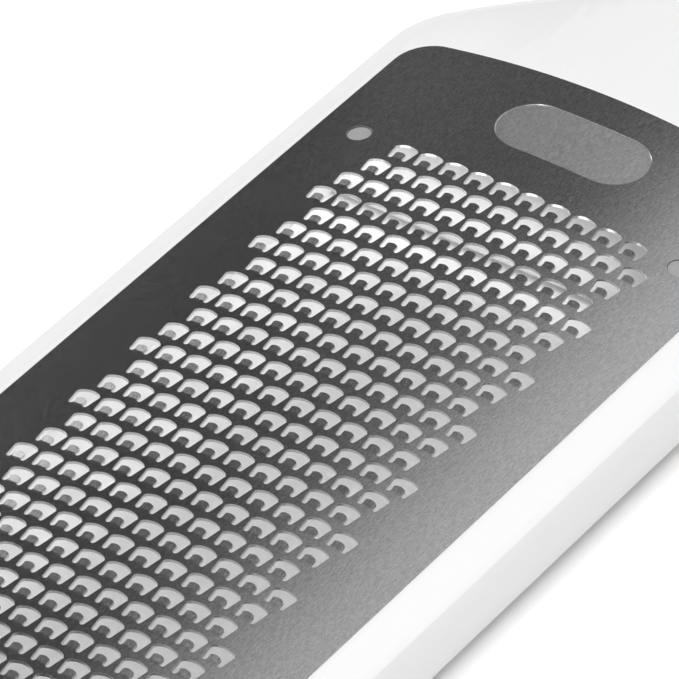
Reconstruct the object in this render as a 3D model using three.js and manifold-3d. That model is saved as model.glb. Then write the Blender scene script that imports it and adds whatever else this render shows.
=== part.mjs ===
// A hand-held paddle grater: an etched steel plate bowed across a moulded frame, with a two-part handle.
// Millimetres, +Z up, +Y towards the end of the handle. It stands on its four feet at z = 0.
import * as THREE from "three";
import { mergeVertices } from "three/addons/utils/BufferGeometryUtils.js";
import Module from "manifold-3d";

// Window pattern: each row is shifted by one part of the repeat, and the first row is one window short.
const ROWS = 28;
const WINDOWS_PER_ROW = 11;
const ROWS_PER_REPEAT = 3;
const WINDOW_PITCH = 4;
const ROW_PITCH = 4.23;

// One window: an arch round a tongue that is rooted on the toe side.
const WINDOW_WIDTH = 3.5;
const WINDOW_FOOT_WIDTH = 2.9;
const WINDOW_HEIGHT = 3.2;
const WINDOW_RISE = 1.3;
const TONGUE_WIDTH = 1.5;
const TONGUE_LENGTH = 1.45;

// Plate
const PLATE_WIDTH = 63;
const PLATE_THICKNESS = 0.4;
const PLATE_CORNER = 5.2;
const PLATE_END_BOW = 1.2;
const PLATE_HANDLE_MARGIN = 24.4;
const PLATE_TOE_MARGIN = 12;
const CROWN_RADIUS = 200;
const CROWN_FACETS = 6;

// Frame: heights are measured from the surface that the grater stands on.
const CROWN_HEIGHT = 15.2;
const RIM_WIDTH = 4.6;
const RIM_DROP = 2.1;
const FRAME_WALL = 2.4;
const LEDGE_THICKNESS = 2;
const OPENING_MARGIN = 0.5;
const OPENING_CORNER = 3;
const TOE_RADIUS = 12;
const SHOULDER_START = 23.5;
const SHOULDER_RADIUS = 16;
const SHOULDER_ANGLE = THREE.MathUtils.degToRad(50);
const NECK_RADIUS = 20;

// Handle
const HANDLE_LENGTH = 106;
const HANDLE_LAP = 6;
const HANDLE_WALL = 2.6;
const HANDLE_SQUARENESS = 0.7;
const NECK_WIDTH = 25;
const BELLY_WIDTH = 30;
const TAIL_WIDTH = 27;
const TAIL_THICKNESS = 12;
const BELLY_SHARE = 0.5;
const TAIL_CAP = 12;
const COVER_THICKNESS = 2.4;

// Soft inlays of the handle
const GRIP_LENGTH = 62;
const GRIP_WIDTH = 18;
const GRIP_FROM_NECK = 12;
const GRIP_DEPTH = 1.3;
const GRIP_PROUD = 0.4;

// Hanging hole and its bush
const HANG_BORE = 8;
const HANG_RING_WALL = 2;
const HANG_RING_PROUD = 0.3;
const HANG_FROM_END = 13;
const HANG_BLOCK = 24;

// Studs that pin the plate, and feet
const STUD_HOLE = 3.4;
const STUD_SHANK = 2;
const STUD_FROM_EDGE = 6.3;
const STUD_PAST_ROW = 0.9;
const STUD_SINK = 0.15;
const STUD_HEAD = 0.25;
const STUD_DEPTH = 2;
const FOOT_DIAMETER = 9;
const FOOT_HEIGHT = 1.6;
const FOOT_PROUD = 0.6;
const FOOT_CHAMFER = 0.3;
const FOOT_INSET = 8.5;
const FOOT_BOSS_WALL = 2;

// Gap between pieces that touch, and the reach by which a cutter passes what it cuts
const CLEARANCE = 0.3;
const REACH = 5;

// Facets of round shapes
const ARC_STEPS = 6;
const BORE_SIDES = 12;
const HANDLE_SIDES = 24;
const HANDLE_STATIONS = 8;
const CAP_STEPS = 4;

// Places along Y, from the line of the first row of windows
const LAST_ROW_Y = -(ROWS - 1) * ROW_PITCH;
const PLATE_HANDLE_Y = PLATE_HANDLE_MARGIN;
const PLATE_TOE_Y = LAST_ROW_Y - PLATE_TOE_MARGIN;
const TOE_Y = PLATE_TOE_Y - CLEARANCE - RIM_WIDTH;
const OPENING_HANDLE_Y = WINDOW_RISE + OPENING_MARGIN;
const OPENING_TOE_Y = LAST_ROW_Y + WINDOW_RISE - WINDOW_HEIGHT - OPENING_MARGIN;
const BULKHEAD_Y = OPENING_HANDLE_Y + FRAME_WALL;

// Places across X
const PLATE_HALF = PLATE_WIDTH / 2;
const FRAME_HALF = PLATE_HALF + CLEARANCE + RIM_WIDTH;
const NECK_HALF = NECK_WIDTH / 2;
const ROW_SHIFT = WINDOW_PITCH / ROWS_PER_REPEAT;
const MIDDLE_PHASE = (ROWS_PER_REPEAT + 1) / 2;
const ROW_HALF = ((WINDOWS_PER_ROW - 1) * WINDOW_PITCH + WINDOW_WIDTH) / 2;
const FIELD_HALF = ROW_HALF + (ROWS_PER_REPEAT - MIDDLE_PHASE) * ROW_SHIFT;
const OPENING_HALF = FIELD_HALF + OPENING_MARGIN;

// Heights
const crownDrop = (x) => CROWN_RADIUS - Math.sqrt(CROWN_RADIUS ** 2 - x ** 2);
const FRAME_BOTTOM = FOOT_PROUD;
const SEAT_DROP = PLATE_THICKNESS + CLEARANCE;
const LEDGE_UNDERSIDE = CROWN_HEIGHT - crownDrop(PLATE_HALF) - SEAT_DROP - LEDGE_THICKNESS;
const NECK_TOP = CROWN_HEIGHT - crownDrop(NECK_HALF);
const HANDLE_AXIS_Z = (NECK_TOP + FRAME_BOTTOM) / 2;
const HANDLE_HALF_THICKNESS = (NECK_TOP - FRAME_BOTTOM) / 2;

// The neck's hollow arc is tangent to the straight flank of the shoulder and to the side of the neck.
const SHOULDER_CENTRE = new THREE.Vector2(FRAME_HALF - SHOULDER_RADIUS, SHOULDER_START);
const NECK_CENTRE_X = NECK_HALF + NECK_RADIUS;
const CENTRES_APART_X = NECK_CENTRE_X - SHOULDER_CENTRE.x;
const FLANK_REACH = SHOULDER_RADIUS + NECK_RADIUS - CENTRES_APART_X * Math.cos(SHOULDER_ANGLE);
const NECK_Y = SHOULDER_CENTRE.y + FLANK_REACH / Math.sin(SHOULDER_ANGLE);
const HANDLE_END_Y = NECK_Y + HANDLE_LENGTH;
const HANG_Y = HANDLE_END_Y - HANG_FROM_END;

// Solids: closed geometries are joined and cut as manifolds.
const wasm = await Module();
wasm.setup();

function solid(geometry) {
  const bare = geometry.clone();
  bare.deleteAttribute("normal");
  bare.deleteAttribute("uv");
  const merged = mergeVertices(bare);
  const vertProperties = new Float32Array(merged.attributes.position.array);
  const triVerts = new Uint32Array(merged.index.array);
  return new wasm.Manifold(new wasm.Mesh({ numProp: 3, vertProperties, triVerts }));
}

function geometryOf(manifold) {
  const { vertProperties, triVerts } = manifold.getMesh();
  const geometry = new THREE.BufferGeometry();
  geometry.setAttribute("position", new THREE.BufferAttribute(vertProperties, 3));
  geometry.setIndex(new THREE.BufferAttribute(triVerts, 1));
  return geometry;
}

// A plan shape raised from one height to another
function upright(shape, low, high) {
  const geometry = new THREE.ExtrudeGeometry(shape, {
    depth: high - low,
    bevelEnabled: false,
    curveSegments: ARC_STEPS,
  });
  return geometry.translate(0, 0, low);
}

// A cross-section in X and Z drawn out along Y
function lengthwise(points, start, end) {
  const shape = new THREE.Shape(points);
  const geometry = new THREE.ExtrudeGeometry(shape, { depth: end - start, bevelEnabled: false });
  return geometry.rotateX(Math.PI / 2).translate(0, end, 0);
}

// A profile of radius and height turned round the Z axis
function turned(profile) {
  const points = profile.map(([radius, height]) => new THREE.Vector2(radius, height));
  return new THREE.LatheGeometry(points, BORE_SIDES).rotateX(Math.PI / 2);
}

function pin(radius, low, high) {
  return turned([[0, low], [radius, low], [radius, high], [0, high]]);
}

function block(low, high) {
  const size = high.clone().sub(low);
  const middle = low.clone().add(high).multiplyScalar(0.5);
  return new THREE.BoxGeometry(size.x, size.y, size.z).translate(middle.x, middle.y, middle.z);
}

// Everything between two Y places, or above or below a height
const SPAN = 2 * (FRAME_HALF + REACH);
const FAR_LOW_Y = TOE_Y - REACH;
const FAR_HIGH_Y = HANDLE_END_Y + REACH;
const FAR_LOW_Z = -REACH;
const FAR_HIGH_Z = CROWN_HEIGHT + REACH;

function slab(lowY, highY, lowZ, highZ) {
  return block(new THREE.Vector3(-SPAN / 2, lowY, lowZ), new THREE.Vector3(SPAN / 2, highY, highZ));
}

// Cross-section points of the bowed surface at a given drop below the crown
function crownLine(drop) {
  const points = [];
  for (let i = 0; i <= CROWN_FACETS; i++) {
    const x = -PLATE_HALF + (PLATE_WIDTH * i) / CROWN_FACETS;
    points.push(new THREE.Vector2(x, CROWN_HEIGHT - crownDrop(x) - drop));
  }
  return points;
}

// A rectangle with round corners, whose handle end is bowed outwards in its middle
function roundedRectangle(halfWidth, lowY, highY, radius, bow) {
  const cornerTop = highY - bow;
  const shape = new THREE.Shape();
  shape.moveTo(halfWidth - radius, lowY);
  shape.absarc(halfWidth - radius, lowY + radius, radius, -Math.PI / 2, 0);
  shape.absarc(halfWidth - radius, cornerTop - radius, radius, 0, Math.PI / 2);
  shape.quadraticCurveTo(0, highY + bow, radius - halfWidth, cornerTop);
  shape.absarc(radius - halfWidth, cornerTop - radius, radius, Math.PI / 2, Math.PI);
  shape.absarc(radius - halfWidth, lowY + radius, radius, Math.PI, 1.5 * Math.PI);
  shape.closePath();
  return shape;
}

// Outline of the frame in plan, moved inwards by an inset, up to an end across the neck
function framePlan(inset, endY) {
  const half = FRAME_HALF - inset;
  const toeRadius = TOE_RADIUS - inset;
  const shoulderRadius = SHOULDER_RADIUS - inset;
  const neckRadius = NECK_RADIUS + inset;
  const toeX = half - toeRadius;
  const toeY = TOE_Y + TOE_RADIUS;
  const shape = new THREE.Shape();
  shape.moveTo(toeX, TOE_Y + inset);
  shape.absarc(toeX, toeY, toeRadius, -Math.PI / 2, 0);
  shape.absarc(SHOULDER_CENTRE.x, SHOULDER_CENTRE.y, shoulderRadius, 0, SHOULDER_ANGLE);
  shape.absarc(NECK_CENTRE_X, NECK_Y, neckRadius, Math.PI + SHOULDER_ANGLE, Math.PI, true);
  shape.lineTo(NECK_HALF - inset, endY);
  shape.lineTo(inset - NECK_HALF, endY);
  shape.absarc(-NECK_CENTRE_X, NECK_Y, neckRadius, 0, -SHOULDER_ANGLE, true);
  shape.absarc(-SHOULDER_CENTRE.x, SHOULDER_CENTRE.y, shoulderRadius, Math.PI - SHOULDER_ANGLE, Math.PI);
  shape.absarc(-toeX, toeY, toeRadius, Math.PI, 1.5 * Math.PI);
  shape.closePath();
  return shape;
}

// Handle: its width swells from the neck to the belly and its section is a squared oval.
const BELLY_Y = NECK_Y + BELLY_SHARE * HANDLE_LENGTH;
const CAP_Y = HANDLE_END_Y - TAIL_CAP;
const { lerp, smoothstep } = THREE.MathUtils;

function handleHalfWidth(y) {
  const toBelly = lerp(NECK_WIDTH, BELLY_WIDTH, smoothstep(y, NECK_Y, BELLY_Y));
  return lerp(toBelly, TAIL_WIDTH, smoothstep(y, BELLY_Y, CAP_Y)) / 2;
}

function handleHalfThickness(y) {
  return lerp(HANDLE_HALF_THICKNESS, TAIL_THICKNESS / 2, smoothstep(y, BELLY_Y, CAP_Y));
}

const squared = (share) => Math.sign(share) * Math.abs(share) ** HANDLE_SQUARENESS;

function handleBody(inset, startY) {
  const profile = [new THREE.Vector2(0, startY)];
  for (let i = 0; i <= HANDLE_STATIONS; i++) {
    profile.push(new THREE.Vector2(1, lerp(startY, CAP_Y, i / HANDLE_STATIONS)));
  }
  for (let i = 1; i < CAP_STEPS; i++) {
    const angle = (Math.PI / 2) * (i / CAP_STEPS);
    profile.push(new THREE.Vector2(Math.cos(angle), CAP_Y + (TAIL_CAP - inset) * Math.sin(angle)));
  }
  profile.push(new THREE.Vector2(0, HANDLE_END_Y - inset));
  const geometry = new THREE.LatheGeometry(profile, HANDLE_SIDES);
  const position = geometry.attributes.position;
  for (let i = 0; i < position.count; i++) {
    const [x, y, z] = [position.getX(i), position.getY(i), position.getZ(i)];
    const radius = Math.hypot(x, z) || 1;
    const across = radius * squared(x / radius) * (handleHalfWidth(y) - inset);
    const up = radius * squared(z / radius) * (handleHalfThickness(y) - inset);
    position.setXYZ(i, across, y, HANDLE_AXIS_Z + up);
  }
  return solid(geometry);
}

const HANDLE_START_Y = NECK_Y - HANDLE_LAP;
const handle = handleBody(0, HANDLE_START_Y);
const hangBlock = solid(slab(HANDLE_END_Y - HANG_BLOCK, FAR_HIGH_Y, FAR_LOW_Z, FAR_HIGH_Z));
const handleHollow = handleBody(HANDLE_WALL, HANDLE_START_Y - REACH).subtract(hangBlock);
const aboveParting = solid(slab(FAR_LOW_Y, FAR_HIGH_Y, HANDLE_AXIS_Z + CLEARANCE / 2, FAR_HIGH_Z));
const belowParting = solid(slab(FAR_LOW_Y, FAR_HIGH_Y, FAR_LOW_Z, HANDLE_AXIS_Z - CLEARANCE / 2));
const hangHoleRadius = HANG_BORE / 2 + HANG_RING_WALL + CLEARANCE;
const hangHole = solid(pin(hangHoleRadius, FAR_LOW_Z, FAR_HIGH_Z).translate(0, HANG_Y, 0));

// Soft inlays: a slice of the handle's skin inside a stadium outline, and the recess that takes it
function gripPlan(inset) {
  const radius = GRIP_WIDTH / 2 - inset;
  const lowY = NECK_Y + GRIP_FROM_NECK + GRIP_WIDTH / 2;
  const highY = NECK_Y + GRIP_FROM_NECK + GRIP_LENGTH - GRIP_WIDTH / 2;
  const shape = new THREE.Shape();
  shape.absarc(0, highY, radius, 0, Math.PI);
  shape.absarc(0, lowY, radius, Math.PI, 2 * Math.PI);
  shape.closePath();
  return shape;
}

const gripColumn = solid(upright(gripPlan(0), FAR_LOW_Z, FAR_HIGH_Z));
const gripSkin = handleBody(-GRIP_PROUD, HANDLE_START_Y).subtract(handleBody(GRIP_DEPTH, HANDLE_START_Y));
const gripPads = gripSkin.intersect(gripColumn);
const recessColumn = solid(upright(gripPlan(-CLEARANCE), FAR_LOW_Z, FAR_HIGH_Z));
const gripRecess = recessColumn.subtract(handleBody(GRIP_DEPTH + CLEARANCE, HANDLE_START_Y));

// Places of the studs and the feet
const STUD_X = PLATE_HALF - STUD_FROM_EDGE;
const studs = [];
for (const [end, y] of [["handle", STUD_PAST_ROW], ["toe", LAST_ROW_Y - STUD_PAST_ROW]]) {
  studs.push({ name: `stud_${end}_left`, x: -STUD_X, y });
  studs.push({ name: `stud_${end}_right`, x: STUD_X, y });
}
const FOOT_X = FRAME_HALF - FOOT_INSET;
const TOE_FOOT_Y = TOE_Y + FOOT_INSET;
const SHOULDER_FOOT_Y = BULKHEAD_Y + FOOT_INSET;
const footPocket = pin(FOOT_DIAMETER / 2 + CLEARANCE, FAR_LOW_Z, FOOT_HEIGHT + CLEARANCE);
const toeFeet = [-FOOT_X, FOOT_X].map((x) => new THREE.Vector2(x, TOE_FOOT_Y));
const shoulderFeet = [-FOOT_X, FOOT_X].map((x) => new THREE.Vector2(x, SHOULDER_FOOT_Y));

// A geometry made on the Z axis, with its zero at the plate's top surface, set square to the bowed surface
function onCrown(geometry, x, y) {
  return geometry.rotateY(Math.asin(x / CROWN_RADIUS)).translate(x, y, CROWN_HEIGHT - crownDrop(x));
}

// Plate
function windowPoints(x, y) {
  const top = y + WINDOW_RISE;
  const bottom = top - WINDOW_HEIGHT;
  const tip = bottom + TONGUE_LENGTH;
  const outline = [
    [WINDOW_WIDTH / 2, top],
    [-WINDOW_WIDTH / 2, top],
    [-WINDOW_FOOT_WIDTH / 2, bottom],
    [-TONGUE_WIDTH / 2, bottom],
    [-TONGUE_WIDTH / 2, tip],
    [TONGUE_WIDTH / 2, tip],
    [TONGUE_WIDTH / 2, bottom],
    [WINDOW_FOOT_WIDTH / 2, bottom],
  ];
  return outline.map(([across, along]) => new THREE.Vector2(x + across, along));
}

function windowShapes() {
  const shapes = [];
  for (let row = 0; row < ROWS; row++) {
    const phase = row === 0 ? 0 : ((row - 1) % ROWS_PER_REPEAT) + 1;
    const count = row === 0 ? WINDOWS_PER_ROW - 1 : WINDOWS_PER_ROW;
    const start = -((WINDOWS_PER_ROW - 1) / 2) * WINDOW_PITCH + (MIDDLE_PHASE - phase) * ROW_SHIFT;
    for (let i = 0; i < count; i++) {
      shapes.push(new THREE.Shape(windowPoints(start + i * WINDOW_PITCH, -row * ROW_PITCH)));
    }
  }
  return shapes;
}

const platePlan = roundedRectangle(PLATE_HALF, PLATE_TOE_Y, PLATE_HANDLE_Y, PLATE_CORNER, PLATE_END_BOW);

function gratingPlate() {
  const section = [...crownLine(0).reverse(), ...crownLine(PLATE_THICKNESS)];
  let plate = solid(lengthwise(section, FAR_LOW_Y, FAR_HIGH_Y));
  plate = plate.intersect(solid(upright(platePlan, FAR_LOW_Z, FAR_HIGH_Z)));
  plate = plate.subtract(solid(upright(windowShapes(), FAR_LOW_Z, FAR_HIGH_Z)));
  for (const { x, y } of studs) {
    plate = plate.subtract(solid(onCrown(pin(STUD_HOLE / 2, -REACH, REACH), x, y)));
  }
  return plate;
}

// Frame
function headBody() {
  const geometry = new THREE.ExtrudeGeometry(framePlan(0, NECK_Y + RIM_WIDTH), {
    depth: CROWN_HEIGHT,
    bevelSize: RIM_WIDTH,
    bevelOffset: -RIM_WIDTH,
    bevelThickness: RIM_DROP,
    bevelSegments: 1,
    curveSegments: ARC_STEPS,
  });
  const rimSlope = RIM_DROP / (FRAME_HALF - PLATE_HALF);
  const farHalf = FRAME_HALF + REACH;
  const farTop = CROWN_HEIGHT - crownDrop(PLATE_HALF) - rimSlope * (farHalf - PLATE_HALF);
  const section = [
    new THREE.Vector2(farHalf, FRAME_BOTTOM),
    new THREE.Vector2(farHalf, farTop),
    ...crownLine(0).reverse(),
    new THREE.Vector2(-farHalf, farTop),
    new THREE.Vector2(-farHalf, FRAME_BOTTOM),
  ];
  const raised = solid(geometry.translate(0, 0, -RIM_DROP));
  return raised.intersect(solid(lengthwise(section, FAR_LOW_Y, NECK_Y)));
}

function platePocket() {
  const seat = crownLine(SEAT_DROP);
  const edgeZ = seat[0].y;
  const section = [
    ...seat,
    new THREE.Vector2(FRAME_HALF, edgeZ),
    new THREE.Vector2(FRAME_HALF, FAR_HIGH_Z),
    new THREE.Vector2(-FRAME_HALF, FAR_HIGH_Z),
    new THREE.Vector2(-FRAME_HALF, edgeZ),
  ];
  const pocketPlan = roundedRectangle(
    PLATE_HALF + CLEARANCE,
    PLATE_TOE_Y - CLEARANCE,
    PLATE_HANDLE_Y + CLEARANCE,
    PLATE_CORNER + CLEARANCE,
    PLATE_END_BOW,
  );
  const column = solid(upright(pocketPlan, FAR_LOW_Z, FAR_HIGH_Z));
  return column.intersect(solid(lengthwise(section, FAR_LOW_Y, FAR_HIGH_Y)));
}

function frameBody() {
  const openingPlan = roundedRectangle(OPENING_HALF, OPENING_TOE_Y, OPENING_HANDLE_Y, OPENING_CORNER, 0);
  const inside = solid(upright(framePlan(FRAME_WALL, NECK_Y + REACH), FAR_LOW_Z, LEDGE_UNDERSIDE));
  const bulkhead = solid(slab(OPENING_HANDLE_Y, BULKHEAD_Y, FAR_LOW_Z, FAR_HIGH_Z));
  let frame = headBody().subtract(inside.subtract(bulkhead));
  for (const { x, y } of toeFeet) {
    const radius = FOOT_DIAMETER / 2 + CLEARANCE + FOOT_BOSS_WALL;
    frame = frame.add(solid(pin(radius, FRAME_BOTTOM, LEDGE_UNDERSIDE + CLEARANCE).translate(x, y, 0)));
    frame = frame.subtract(solid(footPocket.clone().translate(x, y, 0)));
  }
  frame = frame.subtract(platePocket());
  frame = frame.subtract(solid(upright(openingPlan, FAR_LOW_Z, FAR_HIGH_Z)));
  for (const { x, y } of studs) {
    const depth = SEAT_DROP + STUD_DEPTH + CLEARANCE;
    frame = frame.subtract(solid(onCrown(pin(STUD_SHANK / 2 + CLEARANCE, -depth, REACH), x, y)));
  }
  frame = frame.add(handle.intersect(aboveParting));
  return frame.subtract(handleHollow).subtract(gripRecess).subtract(hangHole);
}

// Back cover: a flat floor under the shoulders that runs into the lower half of the handle
function backCover() {
  const plan = solid(upright(framePlan(FRAME_WALL + CLEARANCE, NECK_Y + REACH), FAR_LOW_Z, FAR_HIGH_Z));
  const shoulders = plan.intersect(solid(slab(BULKHEAD_Y + CLEARANCE, NECK_Y, FAR_LOW_Z, FAR_HIGH_Z)));
  const floorTop = FRAME_BOTTOM + COVER_THICKNESS;
  const floor = shoulders.intersect(solid(slab(FAR_LOW_Y, FAR_HIGH_Y, FRAME_BOTTOM, floorTop)));
  const beyondNeck = solid(slab(NECK_Y + CLEARANCE, FAR_HIGH_Y, FAR_LOW_Z, FAR_HIGH_Z));
  const neckStrip = plan.intersect(solid(slab(HANDLE_START_Y, FAR_HIGH_Y, FAR_LOW_Z, FAR_HIGH_Z)));
  const shell = handle.intersect(belowParting).intersect(beyondNeck.add(neckStrip));
  let cover = shell.subtract(handleHollow).add(floor);
  for (const { x, y } of shoulderFeet) {
    cover = cover.subtract(solid(footPocket.clone().translate(x, y, 0)));
  }
  return cover.subtract(gripRecess).subtract(hangHole);
}

// Stud, foot and bush
function stud() {
  const headRadius = STUD_HOLE / 2 - CLEARANCE;
  const headLow = -STUD_SINK - STUD_HEAD;
  const shankLow = -SEAT_DROP - STUD_DEPTH;
  return turned([
    [0, shankLow],
    [STUD_SHANK / 2, shankLow],
    [STUD_SHANK / 2, headLow],
    [headRadius, headLow],
    [headRadius, -STUD_SINK],
    [0, -STUD_SINK],
  ]);
}

function foot() {
  const radius = FOOT_DIAMETER / 2;
  return turned([
    [0, 0],
    [radius - FOOT_CHAMFER, 0],
    [radius, FOOT_CHAMFER],
    [radius, FOOT_HEIGHT],
    [0, FOOT_HEIGHT],
  ]);
}

function hangRing() {
  const bore = HANG_BORE / 2;
  const outside = bore + HANG_RING_WALL;
  const bush = turned([
    [bore, FAR_LOW_Z],
    [outside, FAR_LOW_Z],
    [outside, FAR_HIGH_Z],
    [bore, FAR_HIGH_Z],
    [bore, FAR_LOW_Z],
  ]);
  return solid(bush.translate(0, HANG_Y, 0)).intersect(handleBody(-HANG_RING_PROUD, HANDLE_START_Y));
}

// Materials
const brushedSteel = new THREE.MeshStandardMaterial({ color: 0x9b9b9d, roughness: 0.34, metalness: 1 });
const whitePlastic = new THREE.MeshStandardMaterial({ color: 0xf2f2f1, roughness: 0.4, metalness: 0 });
const greyPlastic = new THREE.MeshStandardMaterial({ color: 0xb4b4b4, roughness: 0.55, metalness: 0 });
const softGrey = new THREE.MeshStandardMaterial({ color: 0x8d8f92, roughness: 0.8, metalness: 0 });

// Assembly: the origin is under the middle of the whole grater.
const grater = new THREE.Group();
grater.position.y = -(TOE_Y + HANDLE_END_Y) / 2;

function place(name, geometry, material) {
  const mesh = new THREE.Mesh(geometry, material);
  mesh.name = name;
  grater.add(mesh);
}

place("grating_plate", geometryOf(gratingPlate()), brushedSteel);
place("frame", geometryOf(frameBody()), whitePlastic);
place("back_cover", geometryOf(backCover()), whitePlastic);
place("grip_top", geometryOf(gripPads.intersect(aboveParting)), softGrey);
place("grip_back", geometryOf(gripPads.intersect(belowParting)), softGrey);
place("hang_ring", geometryOf(hangRing()), softGrey);
for (const { name, x, y } of studs) {
  place(name, onCrown(stud(), x, y), greyPlastic);
}
for (const [end, feet] of [["toe", toeFeet], ["shoulder", shoulderFeet]]) {
  for (const { x, y } of feet) {
    const side = x < 0 ? "left" : "right";
    place(`foot_${end}_${side}`, foot().translate(x, y, 0), softGrey);
  }
}

export default grater;
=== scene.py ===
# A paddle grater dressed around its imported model: an etched steel plate in a white moulded body.
# Shapes are drawn in millimetres and scaled to metres when a piece is finished.
import math

import bmesh
import bpy
from mathutils import Matrix, Quaternion, Vector
from mathutils.geometry import intersect_point_line


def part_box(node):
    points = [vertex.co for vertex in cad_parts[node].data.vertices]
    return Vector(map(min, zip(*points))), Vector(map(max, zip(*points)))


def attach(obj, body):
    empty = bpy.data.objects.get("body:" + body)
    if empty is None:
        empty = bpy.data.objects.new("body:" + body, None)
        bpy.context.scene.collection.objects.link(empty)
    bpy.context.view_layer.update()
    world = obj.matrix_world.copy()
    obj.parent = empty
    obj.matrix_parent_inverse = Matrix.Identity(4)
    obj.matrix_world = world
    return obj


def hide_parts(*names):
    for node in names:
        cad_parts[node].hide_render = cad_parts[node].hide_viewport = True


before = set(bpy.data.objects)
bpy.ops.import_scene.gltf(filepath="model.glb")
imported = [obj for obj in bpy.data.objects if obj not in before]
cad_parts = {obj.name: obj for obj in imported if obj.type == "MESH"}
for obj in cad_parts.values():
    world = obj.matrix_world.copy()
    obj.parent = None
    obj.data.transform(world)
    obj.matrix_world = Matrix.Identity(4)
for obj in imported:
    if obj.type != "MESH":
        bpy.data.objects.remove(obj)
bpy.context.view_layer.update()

SCENE = bpy.context.scene
MM = 0.001
MERGE = 0.002
ON_PLANE = 0.02
ALONG_X = (1, 0, 0)
ALONG_Y = (0, 1, 0)
ALONG_Z = (0, 0, 1)

# The photograph's camera: its place in millimetres, its aim and its focal length in widths of the picture
CAMERA_PLACE = Vector((402.815, -606.133, 565.401))
CAMERA_AIM = Vector((-0.460284, 0.628336, -0.627162))
CAMERA_ROLL = math.radians(-0.972)
CAMERA_LENS_WIDTHS = 10.2563
SENSOR = 36
CLIP_START = 0.01
CLIP_END = 100

# Window pattern
ROWS = 28
WINDOWS_PER_ROW = 11
ROWS_PER_REPEAT = 3
MIDDLE_PHASE = 2
WINDOW_PITCH = 4.0
ROW_PITCH = 4.23
CELL_LOW = -2.3

# One window, from the middle of its lattice point
ARCH_TOP = 1.43
ARCH_RADIUS = 2.6
ARCH_ANGLE = 36
ARCH_STEPS = 4
CORNER_RADIUS = 0.2
CORNER_STEPS = 2
WINDOW_HALF = 1.76
SIDE_TOP = 0.66
LEG_LOW = -1.88
LEG_ROUND = 0.34
LEG_STEPS = 4
TONGUE_HALF = 0.76
TONGUE_TIP = -0.48
TONGUE_TIP_ROUND = 1.24
TONGUE_TIP_STEPS = 2
TONGUE_LIFT = 0.2
TONGUE_BENDS = (-1.6, -1.25, -0.92)

# Plate
PLATE_THICKNESS = 0.4
PLATE_CORNER = 5.2
PLATE_END_BOW = 1.2
CROWN_RADIUS = 200
CUT_EDGE_ROUND = 0.02
BADGE_LENGTH = 22.7
BADGE_WIDTH = 10.4
BADGE_PAST_ROW = 13.3
BADGE_ASIDE = 0.27
BADGE_DEPTH = 0.1
BADGE_WALL = 0.12
STUD_HOLE = 3.4
STUD_FROM_EDGE = 6.3
STUD_PAST_ROW = 0.9

# Moulded body. Each step of the pocket's lip goes inwards and then down.
RIM_WIDTH = 4.2
RIM_DROP = 2.1
CREASE_DROP = 0.5
CREASE_WIDTH = 0.8
RIM_RINGS = (0.08, 0.17, 0.25, 0.4, 0.8, 1.3, 1.4)
LIP_GAP = 0.02
LIP_STEPS = ((0.06, 0.01), (0.06, 0.05), (0.03, 0.09))
SEAT_DROP = 0.7
WALL = 2.4
LEDGE_Z = 10
OPENING_MARGIN = 0.5
OPENING_CORNER = 3
TOE_RADIUS = 12
SHOULDER_PAST_ROW = 23.5
SHOULDER_RADIUS = 16
SHOULDER_ANGLE = 50
NECK_RADIUS = 20
BULKHEAD = 2.4
BOSS_RADIUS = 6.8
BASE_EDGE_ROUND = 1.0
BASE_EDGE_STEPS = 4
SKIN_GRID = 2.1
HANDLE_GRID = 4.0

# Handle and back cover
NECK_HALF = 12.5
BELLY_HALF = 15
TAIL_HALF = 13.5
TAIL_HALF_THICKNESS = 6
BELLY_SHARE = 0.5
TAIL_CAP = 12
HANDLE_POWER = 2.857
NECK_POWER = 6
PARTING_GAP = 0.2
NECK_BLEND = 15
NECK_BLEND_PAST = 2
HANDLE_EDGE = 0.03
COVER_GAP = 0.25
COVER_FLOOR = 2.4
COVER_EDGE_ROUND = 0.4

# Inlays
GRIP_RINGS = (0.12, 0.2, 0.35, 0.7)
GRIP_ROUND = 0.7
GRIP_SUNK = 1.2

# Bush of the hanging hole: steps from its bore outwards and from its outside inwards, with their rise
BUSH_WALL = 2
BUSH_INNER_EDGE = ((0, 0.9), (0.15, 0.315), (0.6, 0))
BUSH_OUTER_EDGE = ((0.5, 0), (0.1, 0.1575), (0, 0.45))

# Studs: shares of the head's radius, insets from its side and radii of the pin, each with its drop
STUD_GAP = 0.06
STUD_DISH = ((0, 0.13), (0.6, 0.125))
STUD_EDGE = ((0.16, 0.12), (0.04, 0.16), (0, 0.26), (0, 0.62))
STUD_PIN = ((1, 0.66), (1, 2.5), (0.8, 2.7), (0, 2.7))

# Feet: insets from the side, each with its height
FOOT_RADIUS = 4.5
FOOT_INSET = 8.5
FOOT_EDGE = ((0.7, 0), (0.3, 0.07), (0.08, 0.24), (0, 0.5))

# Steps of round forms, and the angles in degrees over which an edge is shaded sharp
ARC_STEPS = 9
TURN_STEPS = 40
END_SPANS = 12
HANDLE_STATIONS = 14
CAP_STEPS = 10
SHARP_ANGLE = 38
PLATE_SHARP_ANGLE = 30


# What the frame gives
def node_box(node):
    low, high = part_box(node)
    return low / MM, high / MM


PLATE_LOW, PLATE_HIGH = node_box("grating_plate")
FRAME_LOW, FRAME_HIGH = node_box("frame")
GRIP_LOW, GRIP_HIGH = node_box("grip_top")
RING_LOW, RING_HIGH = node_box("hang_ring")
STUD_LOW, STUD_HIGH = node_box("stud_handle_right")
PLATE_HALF = PLATE_HIGH.x
CROWN_Z = PLATE_HIGH.z
FRAME_HALF = FRAME_HIGH.x
TOE_Y = FRAME_LOW.y
TAIL_Y = FRAME_HIGH.y
BASE_Z = FRAME_LOW.z

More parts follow.
